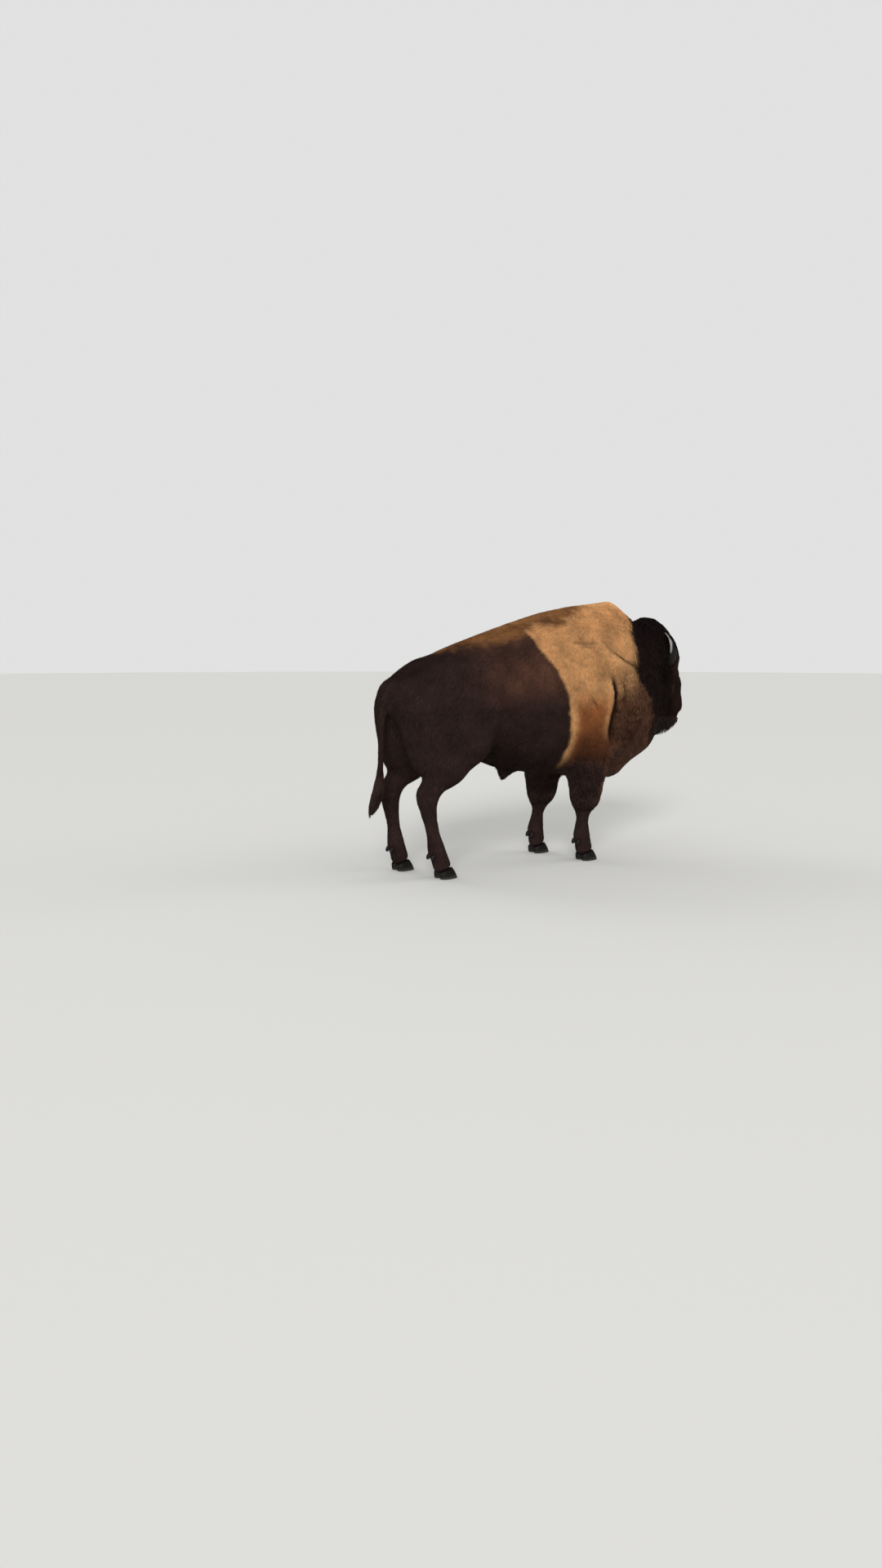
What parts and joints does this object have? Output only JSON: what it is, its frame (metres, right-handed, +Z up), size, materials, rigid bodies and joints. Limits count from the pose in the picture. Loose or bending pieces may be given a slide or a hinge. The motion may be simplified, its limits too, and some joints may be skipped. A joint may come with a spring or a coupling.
{
  "type": "american bison bull",
  "caption": "Life-size adult bison bull standing on four hooves, with a high hump, woolly cape, beard and short curved horns.",
  "frame": {"origin": "centre of the overall box, on the floor the hooves stand on", "axes": "+X towards the head, +Y to the animal's left, +Z up"},
  "size_m": [2.6562, 0.8832, 1.7898],
  "materials": {
    "body_coat": "short dark brown hair, matte",
    "cape_wool": "thick ochre wool, matte",
    "dark_mane": "long near-black hair, matte",
    "horn": "dark horn, worn smooth, satin",
    "hoof": "dark horn, worn and dusty",
    "eye": "dark brown, wet and glossy"
  },
  "bodies": {
    "root": {"barrel": "body_coat", "beard": "dark_mane", "dewclaw_fore_left_inner": "hoof", "dewclaw_fore_left_outer": "hoof", "dewclaw_fore_right_inner": "hoof", "dewclaw_fore_right_outer": "hoof", "dewclaw_hind_left_inner": "hoof", "dewclaw_hind_left_outer": "hoof", "dewclaw_hind_right_inner": "hoof", "dewclaw_hind_right_outer": "hoof", "ear_left": "dark_mane", "ear_right": "dark_mane", "eye_left": "eye", "eye_right": "eye", "foreleg_lower_left": "dark_mane", "foreleg_lower_right": "dark_mane", "foreleg_upper_left": "dark_mane", "foreleg_upper_right": "dark_mane", "head": "dark_mane", "hindleg_lower_left": "dark_mane", "hindleg_lower_right": "dark_mane", "hindleg_upper_left": "dark_mane", "hindleg_upper_right": "dark_mane", "hindquarters": "body_coat", "hoof_fore_left_inner": "hoof", "hoof_fore_left_outer": "hoof", "hoof_fore_right_inner": "hoof", "hoof_fore_right_outer": "hoof", "hoof_hind_left_inner": "hoof", "hoof_hind_left_outer": "hoof", "hoof_hind_right_inner": "hoof", "hoof_hind_right_outer": "hoof", "horn_left": "horn", "horn_right": "horn", "neck": "cape_wool", "shoulders": "cape_wool", "tail": "body_coat", "tail_tuft": "dark_mane"}
  },
  "joints": []
}
